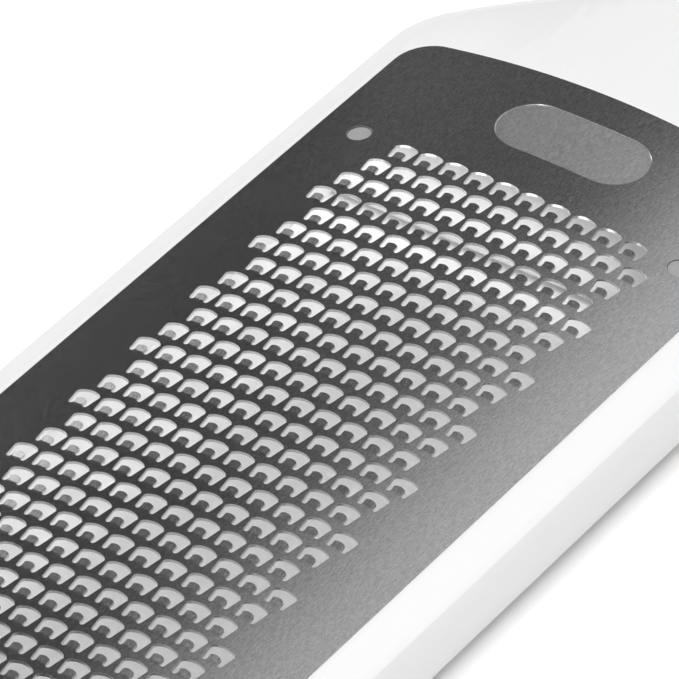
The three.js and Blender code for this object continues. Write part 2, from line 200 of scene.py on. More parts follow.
# Places worked out from these
STUD_MIDDLE = (STUD_LOW + STUD_HIGH) / 2
FIRST_ROW_Y = STUD_MIDDLE.y - STUD_PAST_ROW
LAST_ROW_Y = FIRST_ROW_Y - (ROWS - 1) * ROW_PITCH
STUD_X = PLATE_HALF - STUD_FROM_EDGE
ROW_SHIFT = WINDOW_PITCH / ROWS_PER_REPEAT
BADGE_Y = FIRST_ROW_Y + BADGE_PAST_ROW
BADGE_STRAIGHT = (BADGE_LENGTH - BADGE_WIDTH) / 2
OPENING_HALF = (WINDOWS_PER_ROW - 1) * WINDOW_PITCH / 2 + WINDOW_HALF + ROW_SHIFT + OPENING_MARGIN
OPENING_HIGH_Y = FIRST_ROW_Y + ARCH_TOP + OPENING_MARGIN
OPENING_LOW_Y = LAST_ROW_Y + LEG_LOW - OPENING_MARGIN
BULKHEAD_Y = OPENING_HIGH_Y + BULKHEAD
SHOULDER_X = FRAME_HALF - SHOULDER_RADIUS
SHOULDER_Y = FIRST_ROW_Y + SHOULDER_PAST_ROW
NECK_CENTRE_X = NECK_HALF + NECK_RADIUS
SHOULDER_TURN = math.radians(SHOULDER_ANGLE)
FLANK_REACH = SHOULDER_RADIUS + NECK_RADIUS - (NECK_CENTRE_X - SHOULDER_X) * math.cos(SHOULDER_TURN)
NECK_Y = SHOULDER_Y + FLANK_REACH / math.sin(SHOULDER_TURN)
CAP_Y = TAIL_Y - TAIL_CAP
BELLY_Y = NECK_Y + BELLY_SHARE * (TAIL_Y - NECK_Y)
RING_MIDDLE = (RING_LOW + RING_HIGH) / 2
RING_RADIUS = (RING_HIGH.x - RING_LOW.x) / 2


def crown_drop(x):
    """How far the bowed surface lies under its middle line. It stays level past the plate's edge."""
    inside = min(abs(x), PLATE_HALF)
    return CROWN_RADIUS - math.sqrt(CROWN_RADIUS ** 2 - inside ** 2)


NECK_TOP = CROWN_Z - crown_drop(NECK_HALF)
AXIS_Z = (NECK_TOP + BASE_Z) / 2
HALF_THICKNESS = (NECK_TOP - BASE_Z) / 2
PARTING_HIGH = AXIS_Z + PARTING_GAP / 2
PARTING_LOW = AXIS_Z - PARTING_GAP / 2


def smooth_share(value, start, end):
    share = min(max((value - start) / (end - start), 0), 1)
    return share * share * (3 - 2 * share)


def between(low, high, share):
    return low + (high - low) * share


def handle_half(y):
    to_belly = between(NECK_HALF, BELLY_HALF, smooth_share(y, NECK_Y, BELLY_Y))
    return between(to_belly, TAIL_HALF, smooth_share(y, BELLY_Y, CAP_Y))


def handle_rise(x, y):
    """Height of the handle's skin over its parting plane: a squared oval that closes at the tail."""
    power = between(NECK_POWER, HANDLE_POWER, smooth_share(y, NECK_Y, NECK_Y + NECK_BLEND))
    thickness = between(HALF_THICKNESS, TAIL_HALF_THICKNESS, smooth_share(y, BELLY_Y, CAP_Y))
    past_cap = min(max((y - CAP_Y) / TAIL_CAP, 0), 1)
    reach = math.sqrt(1 - past_cap ** 2)
    left = reach ** power - (abs(x) / handle_half(y)) ** power
    return thickness * max(left, HANDLE_EDGE) ** (1 / power)


def rim_drop(depth):
    """Drop of the head's skin from the crown at a depth inside the outline: a slope with a soft crease."""
    slope = RIM_DROP * max(0, 1 - depth / RIM_WIDTH)
    crease = CREASE_DROP * max(0, 1 - depth / CREASE_WIDTH) ** 2
    return slope + crease


def skin_height(x, y, depth):
    """Height of the body's upper skin, where the head blends into the handle at the neck."""
    head = CROWN_Z - crown_drop(x) - rim_drop(depth)
    handle = AXIS_Z + handle_rise(x, y)
    return between(head, handle, smooth_share(y, NECK_Y - NECK_BLEND, NECK_Y + NECK_BLEND_PAST))


# Drawing in plan
class Pen:
    """Draws a chain of edges at one height with extrusions and spins."""

    def __init__(self, bm, x, y, z=0):
        self.bm = bm
        self.first = bmesh.ops.create_vert(bm, co=(x, y, z))["vert"][0]
        self.tip = self.first

    def line(self, x, y):
        drawn = bmesh.ops.extrude_vert_indiv(self.bm, verts=[self.tip])
        self.tip = drawn["verts"][0]
        self.tip.co.xy = x, y

    def arc(self, x, y, degrees, steps=ARC_STEPS):
        middle = (x, y, self.tip.co.z)
        turn = math.radians(degrees)
        drawn = bmesh.ops.spin(
            self.bm, geom=[self.tip], cent=middle, axis=ALONG_Z, angle=turn, steps=steps
        )
        self.tip = only(bmesh.types.BMVert, drawn["geom_last"])[0]

    def close(self):
        bmesh.ops.contextual_create(self.bm, geom=[self.tip, self.first])


def only(kind, geometry):
    return [item for item in geometry if isinstance(item, kind)]


def once_each(items):
    """Drops repeats and keeps the order of the rest."""
    return list(dict.fromkeys(items))


def corners_of(items):
    return once_each(vert for item in items for vert in item.verts)


def open_edges(bm):
    return [edge for edge in bm.edges if edge.is_boundary]


def symmetric_loop(bm, draw):
    """The loop whose right half draw traces from the middle line back to it."""
    known = set(bm.edges)
    draw(bm)
    half = [edge for edge in bm.edges if edge not in known]
    bmesh.ops.mirror(bm, geom=[*corners_of(half), *half], axis="X", merge_dist=MERGE)
    return [edge for edge in bm.edges if edge not in known]


def round_loop(bm, x, y, radius):
    known = set(bm.edges)
    place = Matrix.Translation((x, y, 0))
    bmesh.ops.create_circle(bm, segments=TURN_STEPS, radius=radius, matrix=place)
    return [edge for edge in bm.edges if edge not in known]


def rounded_rectangle(bm, half, low_y, high_y, radius, bow=0, z=0):
    """A rectangle with round corners, whose handle end is bowed outwards in its middle."""

    def draw(bm):
        core = half - radius
        pen = Pen(bm, 0, low_y, z)
        for i in range(1, END_SPANS + 1):
            pen.line(core * i / END_SPANS, low_y)
        pen.arc(core, low_y + radius, 90)
        pen.line(half, high_y - bow - radius)
        pen.arc(core, high_y - bow - radius, 90)
        for i in range(END_SPANS - 1, -1, -1):
            share = i / END_SPANS
            pen.line(core * share, high_y - bow * share ** 2)

    return symmetric_loop(bm, draw)


def fill(bm, edges):
    done = bmesh.ops.triangle_fill(bm, edges=edges, use_beauty=True, normal=ALONG_Z)
    return only(bmesh.types.BMFace, done["geom"])


def inset_rings(bm, outline, widths):
    """Rings of faces inside an outline, and the face that they leave in the middle."""
    middle = bmesh.ops.contextual_create(bm, geom=outline)["faces"]
    rings = []
    for width in widths:
        done = bmesh.ops.inset_region(bm, faces=middle, thickness=width, use_boundary=True)
        rings += done["faces"]
    return rings, middle


def cut_across(bm, faces, places, normal):
    """Cuts faces at each place along a direction, and returns what they became."""
    geometry = list(faces)
    geometry += once_each(edge for face in faces for edge in face.edges)
    geometry += corners_of(faces)
    for place in places:
        done = bmesh.ops.bisect_plane(
            bm, geom=geometry, dist=ON_PLANE, plane_co=Vector(normal) * place, plane_no=normal
        )
        geometry = done["geom"]
    return only(bmesh.types.BMFace, geometry)


def steps_between(low, high, step):
    count = math.ceil((high - low) / step)
    return [between(low, high, i / count) for i in range(1, count)]


def cut_to_grid(bm, faces, half, low_y, high_y):
    """Cuts flat faces into a grid that is fine enough to follow a curved skin."""
    faces = cut_across(bm, faces, steps_between(-half, half, SKIN_GRID), ALONG_X)
    cut_across(bm, faces, steps_between(low_y, high_y, HANDLE_GRID), ALONG_Y)


def drawn_out(bm, edges):
    """Extrudes open edges and returns the new edges and their corners."""
    done = bmesh.ops.extrude_edge_only(bm, edges=edges)["geom"]
    corners = only(bmesh.types.BMVert, done)
    fresh = set(corners)
    new_edges = [edge for edge in only(bmesh.types.BMEdge, done) if set(edge.verts) <= fresh]
    return new_edges, corners


def drawn_to(bm, edges, height):
    """Extrudes open edges to a height and returns the new edges."""
    new_edges, corners = drawn_out(bm, edges)
    for vert in corners:
        vert.co.z = height
    return new_edges


def turned(bm, profile):
    """A chain of radius and height turned round the Z axis."""
    known = set(bm.verts)
    tip = bmesh.ops.create_vert(bm, co=(profile[0][0], 0, profile[0][1]))["vert"][0]
    for radius, height in profile[1:]:
        tip = bmesh.ops.extrude_vert_indiv(bm, verts=[tip])["verts"][0]
        tip.co = radius, 0, height
    chain = [vert for vert in bm.verts if vert not in known]
    edges = once_each(edge for vert in chain for edge in vert.link_edges)
    bmesh.ops.spin(
        bm, geom=[*chain, *edges], axis=ALONG_Z, angle=math.tau, steps=TURN_STEPS, use_merge=True
    )
    return [vert for vert in bm.verts if vert not in known]


def finished(name, bm, node, material, sharp=SHARP_ANGLE):
    """Makes a drawn shape a piece that stands for a node of the frame."""
    bmesh.ops.remove_doubles(bm, verts=bm.verts[:], dist=MERGE)
    bmesh.ops.recalc_face_normals(bm, faces=bm.faces[:])
    bmesh.ops.scale(bm, vec=(MM, MM, MM), verts=bm.verts[:])
    mesh = bpy.data.meshes.new(name)
    bm.to_mesh(mesh)
    bm.free()
    mesh.shade_smooth()
    mesh.set_sharp_from_angle(angle=math.radians(sharp))
    mesh.materials.append(material)
    piece = bpy.data.objects.new(name, mesh)
    SCENE.collection.objects.link(piece)
    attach(piece, "root")
    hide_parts(node)


# Materials: tones from dark to light, roughness from its lowest to its highest, and depths in metres
STEEL_TONES = ((0.485, 0.485, 0.49), (0.725, 0.725, 0.73))
STEEL_TONE_SPAN = (0.3, 0.7)
STEEL_ROUGHNESS = (0.14, 0.26)
CLOUD_ROUGHNESS = 0.04
ETCHED_ROUGHNESS = 0.2
WHITE_TONES = ((0.875, 0.875, 0.872), (0.9, 0.9, 0.897))
WHITE_ROUGHNESS = (0.36, 0.44)
SOFT_TONES = ((0.22, 0.225, 0.235), (0.31, 0.315, 0.325))
SOFT_ROUGHNESS = (0.66, 0.86)
GREY_TONES = ((0.31, 0.31, 0.31), (0.4, 0.4, 0.4))
GREY_ROUGHNESS = (0.45, 0.65)
FINE_DEPTH = 0.00002
SOFT_DEPTH = 0.00004

# Sockets of the Mix node that carry colours
MIX_DARK = 6
MIX_LIGHT = 7
MIX_RESULT = 2


class Shade:
    """A socket of a node tree. Python operators on it add Math nodes."""

    def __init__(self, tree, socket=None):
        self.tree = tree
        self.socket = socket

    def node(self, kind, settings=None, inputs=None, output=0):
        """Adds a node, sets it up, feeds its sockets and returns one of its outputs."""
        made = self.tree.nodes.new(kind)
        for name, value in (settings or {}).items():
            setattr(made, name, value)
        for name, value in (inputs or {}).items():
            if isinstance(value, Shade):
                self.tree.links.new(value.socket, made.inputs[name])
            else:
                made.inputs[name].default_value = value
        return Shade(self.tree, made.outputs[output] if made.outputs else None)

    def maths(self, operation, *values):
        return self.node("ShaderNodeMath", {"operation": operation}, dict(enumerate(values)))

    def __add__(self, other):
        return self.maths("ADD", self, other)

    __radd__ = __add__

    def __sub__(self, other):
        return self.maths("SUBTRACT", self, other)

    def __rsub__(self, other):
        return self.maths("SUBTRACT", other, self)

    def __mul__(self, other):
        return self.maths("MULTIPLY", self, other)

    __rmul__ = __mul__

    def ramp(self, start, end):
        """0 before start and 1 after end, with soft ends."""
        settings = {"interpolation_type": "SMOOTHSTEP"}
        inputs = {"Value": self, "From Min": start, "From Max": end}
        return self.node("ShaderNodeMapRange", settings, inputs)

    def part(self, axis):
        return self.node("ShaderNodeSeparateXYZ", None, {"Vector": self}, output=axis)


def blank_tree(holder):
    holder.use_nodes = True
    holder.node_tree.nodes.clear()
    return Shade(holder.node_tree)


def grain(tree, scale, detail, along=1):
    """Noise on Object coordinates. With along under 1 it is drawn out along the object."""
    place = tree.node("ShaderNodeTexCoord", output="Object")
    place = tree.node("ShaderNodeMapping", None, {"Vector": place, "Scale": (1, along, 1)})
    return tree.node("ShaderNodeTexNoise", None, {"Vector": place, "Scale": scale, "Detail": detail})


def tone(tree, share, dark, light):
    inputs = {"Factor": share, MIX_DARK: (*dark, 1), MIX_LIGHT: (*light, 1)}
    return tree.node("ShaderNodeMix", {"data_type": "RGBA"}, inputs, output=MIX_RESULT)


def bump(tree, height, strength, depth):
    inputs = {"Strength": strength, "Distance": depth, "Height": height}
    return tree.node("ShaderNodeBump", None, inputs)


def surface(name, build):
    """A material whose Principled shader takes the inputs that build returns."""
    material = bpy.data.materials.new(name)
    tree = blank_tree(material)
    shader = tree.node("ShaderNodeBsdfPrincipled", None, build(tree))
    tree.node("ShaderNodeOutputMaterial", None, {"Surface": shader})
    return material


def badge_etching(tree):
    """1 on the floor of the badge and 0 outside it, by the distance from the badge's middle line."""
    place = tree.node("ShaderNodeTexCoord", output="Object")
    aside = tree.maths("ABSOLUTE", place.part("X") - BADGE_ASIDE * MM)
    across = tree.maths("MAXIMUM", aside - BADGE_STRAIGHT * MM, 0)
    along = place.part("Y") - BADGE_Y * MM
    from_middle = tree.maths("SQRT", across * across + along * along)
    floor_edge = BADGE_WIDTH / 2 - BADGE_WALL
    return 1 - from_middle.ramp((floor_edge - BADGE_WALL) * MM, floor_edge * MM)


def satin_steel(tree):
    streaks = grain(tree, scale=4600, detail=3, along=0.22)
    speckle = grain(tree, scale=6000, detail=2, along=0.6)
    clouds = grain(tree, scale=60, detail=2)
    level = streaks * 0.5 + speckle * 0.5
    roughness = between(*STEEL_ROUGHNESS, level) + clouds * CLOUD_ROUGHNESS
    return {
        "Base Color": tone(tree, level.ramp(*STEEL_TONE_SPAN), *STEEL_TONES),
        "Metallic": 1,
        "Roughness": roughness + badge_etching(tree) * ETCHED_ROUGHNESS,
        "Normal": bump(tree, level, strength=0.32, depth=FINE_DEPTH),
    }


def white_plastic(tree):
    flow = grain(tree, scale=45, detail=2, along=0.3)
    texture = grain(tree, scale=2400, detail=2)
    return {
        "Base Color": tone(tree, flow, *WHITE_TONES),
        "Roughness": between(*WHITE_ROUGHNESS, texture),
        "Normal": bump(tree, texture, strength=0.12, depth=FINE_DEPTH),
    }


def soft_grey(tree):
    texture = grain(tree, scale=1500, detail=4)
    flow = grain(tree, scale=80, detail=2)
    return {
        "Base Color": tone(tree, texture * 0.5 + flow * 0.5, *SOFT_TONES),
        "Roughness": between(*SOFT_ROUGHNESS, texture),
        "Normal": bump(tree, texture, strength=0.4, depth=SOFT_DEPTH),
    }


def grey_plastic(tree):
    texture = grain(tree, scale=3000, detail=3)
    return {
        "Base Color": tone(tree, texture, *GREY_TONES),
        "Roughness": between(*GREY_ROUGHNESS, texture),
        "Normal": bump(tree, texture, strength=0.3, depth=FINE_DEPTH),
    }


SATIN_STEEL = surface("satin_steel", satin_steel)
WHITE_PLASTIC = surface("white_plastic", white_plastic)
SOFT_GREY = surface("soft_grey", soft_grey)
GREY_PLASTIC = surface("grey_plastic", grey_plastic)


# Grating plate
def lattice():
    """Middle of every window. Each row is shifted by a part of the repeat, and the first is one short."""
    for row in range(ROWS):
        phase = (row - 1) % ROWS_PER_REPEAT + 1 if row else 0
        count = WINDOWS_PER_ROW if row else WINDOWS_PER_ROW - 1
        for i in range(count):
            x = (i - (WINDOWS_PER_ROW - 1) / 2) * WINDOW_PITCH + (MIDDLE_PHASE - phase) * ROW_SHIFT
            yield x, FIRST_ROW_Y - row * ROW_PITCH


def half_window(bm):
    """Right half of a window's outline, from the tip of its tongue round a leg to the top of the arch."""
    pen = Pen(bm, 0, TONGUE_TIP)
    tip_turn = math.degrees(math.asin(TONGUE_HALF / TONGUE_TIP_ROUND))
    pen.arc(0, TONGUE_TIP - TONGUE_TIP_ROUND, -tip_turn, TONGUE_TIP_STEPS)
    leg_middle_y = LEG_LOW + LEG_ROUND
    pen.line(TONGUE_HALF, leg_middle_y)
    pen.arc(TONGUE_HALF + LEG_ROUND, leg_middle_y, 180, LEG_STEPS)
    pen.line(WINDOW_HALF, SIDE_TOP)
    arch_middle_y = ARCH_TOP - ARCH_RADIUS
    corner_angle = 90 - ARCH_ANGLE
    corner_turn = math.radians(corner_angle)
    corner_x = (ARCH_RADIUS - CORNER_RADIUS) * math.cos(corner_turn)
    corner_y = (ARCH_RADIUS - CORNER_RADIUS) * math.sin(corner_turn) + arch_middle_y
    pen.line(corner_x + CORNER_RADIUS, corner_y)
    pen.arc(corner_x, corner_y, corner_angle, CORNER_STEPS)
    pen.arc(0, arch_middle_y, ARCH_ANGLE, ARCH_STEPS)


def window_cell(bm):
    """One pitch by one row of flat sheet round a window, with the tongue bent up."""
    cut = bm.edges.layers.int.new("cut")
    for edge in symmetric_loop(bm, half_window):
        edge[cut] = 1
    across = [(i - ROWS_PER_REPEAT / 2) * ROW_SHIFT for i in range(ROWS_PER_REPEAT + 1)]
    border = [(x, CELL_LOW) for x in across]
    border += [(x, CELL_LOW + ROW_PITCH) for x in reversed(across)]
    pen = Pen(bm, *border[0])
    for place in border[1:]:
        pen.line(*place)
    pen.close()
    faces = fill(bm, bm.edges[:])
    cut_across(bm, faces, TONGUE_BENDS, ALONG_Y)
    root = TONGUE_BENDS[0]
    for vert in bm.verts:
        x, y, _ = vert.co
        if abs(x) < TONGUE_HALF + ON_PLANE and root < y < TONGUE_TIP + ON_PLANE:
            vert.co.z = TONGUE_LIFT * (y - root) / (TONGUE_TIP - root)
    return cut


def window_field(bm):
    """Every cell of the pattern, and the open edges round the whole field."""
    cut = window_cell(bm)
    cell = bm.verts[:] + bm.edges[:] + bm.faces[:]
    for x, y in lattice():
        copy = bmesh.ops.duplicate(bm, geom=cell)["geom"]
        bmesh.ops.translate(bm, vec=(x, y, 0), verts=only(bmesh.types.BMVert, copy))
    bmesh.ops.delete(bm, geom=only(bmesh.types.BMVert, cell), context="VERTS")
    bmesh.ops.remove_doubles(bm, verts=bm.verts[:], dist=MERGE)
    return [edge for edge in open_edges(bm) if not edge[cut]]


def badge_outline(bm):
    radius = BADGE_WIDTH / 2
    pen = Pen(bm, 0, BADGE_Y - radius)
    pen.line(BADGE_STRAIGHT, BADGE_Y - radius)
    pen.arc(BADGE_STRAIGHT, BADGE_Y, 180, 2 * ARC_STEPS)
    pen.line(0, BADGE_Y + radius)


def stud_places():
    low_y = LAST_ROW_Y - STUD_PAST_ROW
    high_y = FIRST_ROW_Y + STUD_PAST_ROW
    for end, y in (("handle", high_y), ("toe", low_y)):
        yield f"stud_{end}_left", -STUD_X, y
        yield f"stud_{end}_right", STUD_X, y


def grating_plate():
    """Drawn flat from above, thickened downwards and then bowed across its width."""
    bm = bmesh.new()
    edges = window_field(bm)
    edges += rounded_rectangle(bm, PLATE_HALF, PLATE_LOW.y, PLATE_HIGH.y, PLATE_CORNER, PLATE_END_BOW)
    for _, x, y in stud_places():
        edges += round_loop(bm, x, y, STUD_HOLE / 2)
    badge_loop = symmetric_loop(bm, badge_outline)
    bmesh.ops.translate(bm, vec=(BADGE_ASIDE, 0, 0), verts=corners_of(badge_loop))
    margin = fill(bm, edges + badge_loop)
    badge = bmesh.ops.edgeloop_fill(bm, edges=badge_loop)["faces"]
    wall = bmesh.ops.inset_region(bm, faces=badge, thickness=BADGE_WALL, use_boundary=True)["faces"]
    for vert in corners_of(badge):
        vert.co.z = -BADGE_DEPTH
    last = math.floor(PLATE_HALF / ROW_SHIFT)
    cuts = [(i + 0.5) * ROW_SHIFT for i in range(-last, last)]
    cut_across(bm, margin + badge + wall, cuts, ALONG_X)
    top = bm.faces[:]
    rims = open_edges(bm)
    lower = bmesh.ops.extrude_face_region(bm, geom=top, use_keep_orig=True)["geom"]
    bmesh.ops.translate(bm, vec=(0, 0, -PLATE_THICKNESS), verts=only(bmesh.types.BMVert, lower))
    bmesh.ops.bevel(
        bm, geom=rims, offset=CUT_EDGE_ROUND, offset_type="OFFSET", segments=1, profile=0.5,
        affect="EDGES", material=-1,
    )
    for vert in bm.verts:
        vert.co.z += CROWN_Z - crown_drop(vert.co.x)
    finished("etched_plate", bm, "grating_plate", SATIN_STEEL, PLATE_SHARP_ANGLE)


# Moulded frame and back cover
def trace_shoulder(pen, inset):
    """From the side of the head round the shoulder and the hollow of the neck to the side of the handle."""
    pen.line(FRAME_HALF - inset, SHOULDER_Y)
    pen.arc(SHOULDER_X, SHOULDER_Y, SHOULDER_ANGLE)
    hollow = NECK_RADIUS + inset
    turn = math.pi + SHOULDER_TURN
    pen.line(NECK_CENTRE_X + hollow * math.cos(turn), NECK_Y + hollow * math.sin(turn))
    pen.arc(NECK_CENTRE_X, NECK_Y, -SHOULDER_ANGLE)


def trace_handle(pen):
    for i in range(1, HANDLE_STATIONS + 1):
        y = between(NECK_Y, CAP_Y, i / HANDLE_STATIONS)
        pen.line(handle_half(y), y)
    for i in range(1, CAP_STEPS + 1):
        turn = math.pi / 2 * i / CAP_STEPS
        pen.line(TAIL_HALF * math.cos(turn), CAP_Y + TAIL_CAP * math.sin(turn))


def body_outline(bm):
    pen = Pen(bm, 0, TOE_Y)
    pen.line(FRAME_HALF - TOE_RADIUS, TOE_Y)
    pen.arc(FRAME_HALF - TOE_RADIUS, TOE_Y + TOE_RADIUS, 90)
    trace_shoulder(pen, 0)
    trace_handle(pen)


def chamber_outline(bm):
    """Inside of the walls under the plate, round the bosses that hold the toe's feet."""
    boss_x = FRAME_HALF - FOOT_INSET
    boss_y = TOE_Y + FOOT_INSET
    reach = FOOT_INSET - WALL
    half_chord = math.sqrt(BOSS_RADIUS ** 2 - reach ** 2)
    side_angle = math.degrees(math.atan2(half_chord, reach))
    toe_angle = 270 - side_angle
    pen = Pen(bm, 0, TOE_Y + WALL, PARTING_HIGH)
    pen.line(boss_x - half_chord, TOE_Y + WALL)
    pen.arc(boss_x, boss_y, side_angle - toe_angle, 2 * ARC_STEPS)
    pen.line(FRAME_HALF - WALL, OPENING_HIGH_Y)
    pen.line(0, OPENING_HIGH_Y)


def cover_outline(bm):
    """Inside of the walls of the shoulders, from the bulkhead to the neck."""
    pen = Pen(bm, 0, BULKHEAD_Y, PARTING_HIGH)
    pen.line(FRAME_HALF - WALL, BULKHEAD_Y)
    trace_shoulder(pen, WALL)
    pen.line(0, NECK_Y)


def sides_of(edges):
    return [tuple(vert.co.copy() for vert in edge.verts) for edge in edges]


def depth_inside(point, sides):
    """Distance in plan from a point to the nearest side of an outline."""
    flat = Vector((point.x, point.y, 0))
    depth = math.inf
    for start, end in sides:
        nearest, share = intersect_point_line(flat, start, end)
        if share < 0:
            nearest = start
        elif share > 1:
            nearest = end
        depth = min(depth, (flat - nearest).length)
    return depth


def into_pocket(point):
    """Direction in plan from the plate's edge towards the middle of the plate."""
    core_x = PLATE_HALF - PLATE_CORNER
    low = PLATE_LOW.y + PLATE_CORNER
    high = PLATE_HIGH.y - PLATE_CORNER - PLATE_END_BOW
    near = Vector((min(max(point.x, -core_x), core_x), min(max(point.y, low), high), 0))
    return (near - Vector((point.x, point.y, 0))).normalized()


def rim_rings(bm, outline):
    """Rings of faces along an outline, and the edges round the open middle that they leave."""
    rings, middle = inset_rings(bm, outline, RIM_RINGS)
    inner = list(middle[0].edges)
    bmesh.ops.delete(bm, geom=middle, context="FACES_ONLY")
    return rings, inner


def hanging_hole(bm):
    return round_loop(bm, RING_MIDDLE.x, RING_MIDDLE.y, RING_RADIUS)


def body_skin(bm):
    """Upper skin of the body, and the open edges of its outline, its hanging hole and its pocket."""
    outline = symmetric_loop(bm, body_outline)
    sides = sides_of(outline)
    rings, inner = rim_rings(bm, outline)
    gap = LIP_GAP + sum(step for step, _ in LIP_STEPS)
    pocket = rounded_rectangle(
        bm, PLATE_HALF + gap, PLATE_LOW.y - gap, PLATE_HIGH.y + gap, PLATE_CORNER + gap, PLATE_END_BOW
    )
    hole = hanging_hole(bm)
    skin = rings + fill(bm, inner + pocket + hole)
    cut_to_grid(bm, skin, FRAME_HALF, NECK_Y - NECK_BLEND, TAIL_Y)
    depths = {vert: depth_inside(vert.co, sides) for vert in bm.verts}
    outline = [edge for edge in open_edges(bm) if max(depths[vert] for vert in edge.verts) < ON_PLANE]
    inside = [edge for edge in open_edges(bm) if edge not in outline]
    hole = [edge for edge in inside if edge.verts[0].co.y > NECK_Y]
    pocket = [edge for edge in inside if edge.verts[0].co.y < NECK_Y]
    for vert, depth in depths.items():
        vert.co.z = skin_height(vert.co.x, vert.co.y, depth)
    return outline, hole, pocket


def rounded_lip(bm, pocket):
    """Draws the edge of the pocket inwards and down in small steps."""
    for step, drop in LIP_STEPS:
        pocket, corners = drawn_out(bm, pocket)
        for vert in corners:
            vert.co += into_pocket(vert.co) * step
            vert.co.z -= drop
    return pocket


def drawn_to_seat(bm, edges):
    """Extrudes open edges to the bowed seat that the plate lies over."""
    new_edges, corners = drawn_out(bm, edges)
    for vert in corners:
        vert.co.z = CROWN_Z - crown_drop(vert.co.x) - SEAT_DROP
    return new_edges


def walls_to_base(bm, walls):
    """Draws faces down to the base, with a round edge along their foot."""
    lowered = bmesh.ops.extrude_face_region(bm, geom=walls)["geom"]
    bmesh.ops.delete(bm, geom=walls, context="FACES")
    for vert in only(bmesh.types.BMVert, lowered):
        vert.co.z = BASE_Z + BASE_EDGE_ROUND
    bottom = only(bmesh.types.BMFace, lowered)
    inset = 0
    for i in range(1, BASE_EDGE_STEPS + 1):
        turn = math.pi / 2 * i / BASE_EDGE_STEPS
        reach = BASE_EDGE_ROUND * (1 - math.cos(turn))
        bmesh.ops.inset_region(
            bm, faces=bottom, thickness=reach - inset, use_even_offset=True, use_boundary=True
        )
        inset = reach
        for vert in corners_of(bottom):
            vert.co.z = BASE_Z + BASE_EDGE_ROUND * (1 - math.sin(turn))


def moulded_frame():
    """The skin from the parting plane up, the walls under the head and the ledge inside them."""
    bm = bmesh.new()
    outline, hole, pocket = body_skin(bm)
    pocket = rounded_lip(bm, pocket)
    pocket = drawn_to_seat(bm, pocket)
    outline = drawn_to(bm, outline, PARTING_HIGH)
    hole = drawn_to(bm, hole, PARTING_HIGH)
    chamber = symmetric_loop(bm, chamber_outline)
    cover = symmetric_loop(bm, cover_outline)
    underside = fill(bm, outline + hole + chamber + cover)
    underside = cut_across(bm, underside, [NECK_Y], ALONG_Y)
    bmesh.ops.edgeloop_fill(bm, edges=cover)
    walls_to_base(bm, [face for face in underside if face.calc_center_median().y < NECK_Y])
    chamber = drawn_to(bm, chamber, LEDGE_Z)
    opening = rounded_rectangle(
        bm, OPENING_HALF, OPENING_LOW_Y, OPENING_HIGH_Y, OPENING_CORNER, z=LEDGE_Z
    )
    fill(bm, chamber + opening)
    opening = drawn_to_seat(bm, opening)
    fill(bm, opening + pocket)
    finished("moulded_frame", bm, "frame", WHITE_PLASTIC)


def floor_outline(bm):
    inset = WALL + COVER_GAP
    pen = Pen(bm, 0, BULKHEAD_Y + COVER_GAP)
    pen.line(FRAME_HALF - inset, BULKHEAD_Y + COVER_GAP)
    trace_shoulder(pen, inset)
    pen.line(0, NECK_Y)


def lower_handle_outline(bm):
    start = NECK_Y + COVER_GAP
    pen = Pen(bm, 0, start)
    pen.line(NECK_HALF, start)
    trace_handle(pen)


def back_cover():
    """A floor between the shoulders and the lower half of the handle."""
    bm = bmesh.new()
    outline = symmetric_loop(bm, floor_outline)
    _, floor = inset_rings(bm, outline, [COVER_EDGE_ROUND])
    for vert in bm.verts:
        vert.co.z = BASE_Z + COVER_EDGE_ROUND
    for vert in corners_of(floor):
        vert.co.z = BASE_Z
    fill(bm, drawn_to(bm, open_edges(bm), BASE_Z + COVER_FLOOR))
    floor_corners = set(bm.verts)
    outline = symmetric_loop(bm, lower_handle_outline)
    rings, inner = rim_rings(bm, outline)
    skin = rings + fill(bm, inner + hanging_hole(bm))
    cut_to_grid(bm, skin, FRAME_HALF, NECK_Y - NECK_BLEND, TAIL_Y)
    for vert in bm.verts:
        if vert not in floor_corners:
            vert.co.z = AXIS_Z - handle_rise(vert.co.x, vert.co.y)
    fill(bm, drawn_to(bm, open_edges(bm), PARTING_LOW))
    finished("back_cover_shell", bm, "back_cover", WHITE_PLASTIC)


# Inlays, bush, studs and feet
def grip_outline(bm):
    radius = GRIP_HIGH.x
    pen = Pen(bm, 0, GRIP_LOW.y)
    pen.arc(0, GRIP_LOW.y + radius, 90, 2 * ARC_STEPS)
    pen.line(radius, GRIP_HIGH.y - radius)
    pen.arc(0, GRIP_HIGH.y - radius, 90, 2 * ARC_STEPS)


def grip(node, side):
    """A soft inlay that follows the handle's skin, on the upper side (1) or the lower side (-1)."""
    low, high = node_box(node)
    crown = max(abs(low.z - AXIS_Z), abs(high.z - AXIS_Z))
    proud = crown - HALF_THICKNESS
    bm = bmesh.new()
    outline = symmetric_loop(bm, grip_outline)
    sides = sides_of(outline)
    rings, middle = inset_rings(bm, outline, GRIP_RINGS)
    cut_to_grid(bm, middle + rings, GRIP_HIGH.x, GRIP_LOW.y, GRIP_HIGH.y)
    for vert in bm.verts:
        depth = min(depth_inside(vert.co, sides) / GRIP_ROUND, 1)
        bulge = proud * math.sqrt(1 - (1 - depth) ** 2)
        vert.co.z = AXIS_Z + side * (handle_rise(vert.co.x, vert.co.y) + bulge)
    sunk_edges, corners = drawn_out(bm, open_edges(bm))
    for vert in corners:
        vert.co.z -= side * GRIP_SUNK
    fill(bm, sunk_edges)
    finished(f"{node}_inlay", bm, node, SOFT_GREY)


